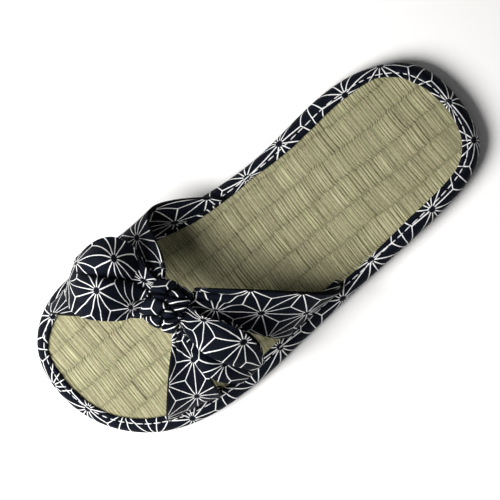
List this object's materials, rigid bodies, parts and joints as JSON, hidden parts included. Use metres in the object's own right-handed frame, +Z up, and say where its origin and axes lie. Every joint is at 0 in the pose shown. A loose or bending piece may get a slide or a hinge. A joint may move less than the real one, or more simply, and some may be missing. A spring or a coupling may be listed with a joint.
{
  "type": "slipper",
  "caption": "Left open-toe slipper: rush-mat footbed with a printed cotton edge binding, crossed gathered straps and a knotted bow.",
  "frame": {"origin": "on the ground under the middle of the slipper's bounding box", "axes": "+Y along the length to the toe, +X to the wearer's big-toe side, +Z up from the sole"},
  "size_m": [0.1072, 0.25, 0.0594],
  "materials": {
    "printed_cotton": "matte plain-weave cotton, white hemp-leaf lattice on navy",
    "woven_rush": "satin dried rush stems, woven",
    "sole_sheet": "matte, fine grain"
  },
  "bodies": {
    "root": {"outsole": "sole_sheet", "insole": "woven_rush", "binding": "printed_cotton", "upper": "printed_cotton", "bow_loop_lateral": "printed_cotton", "bow_loop_medial": "printed_cotton", "bow_knot": "printed_cotton"}
  },
  "joints": []
}
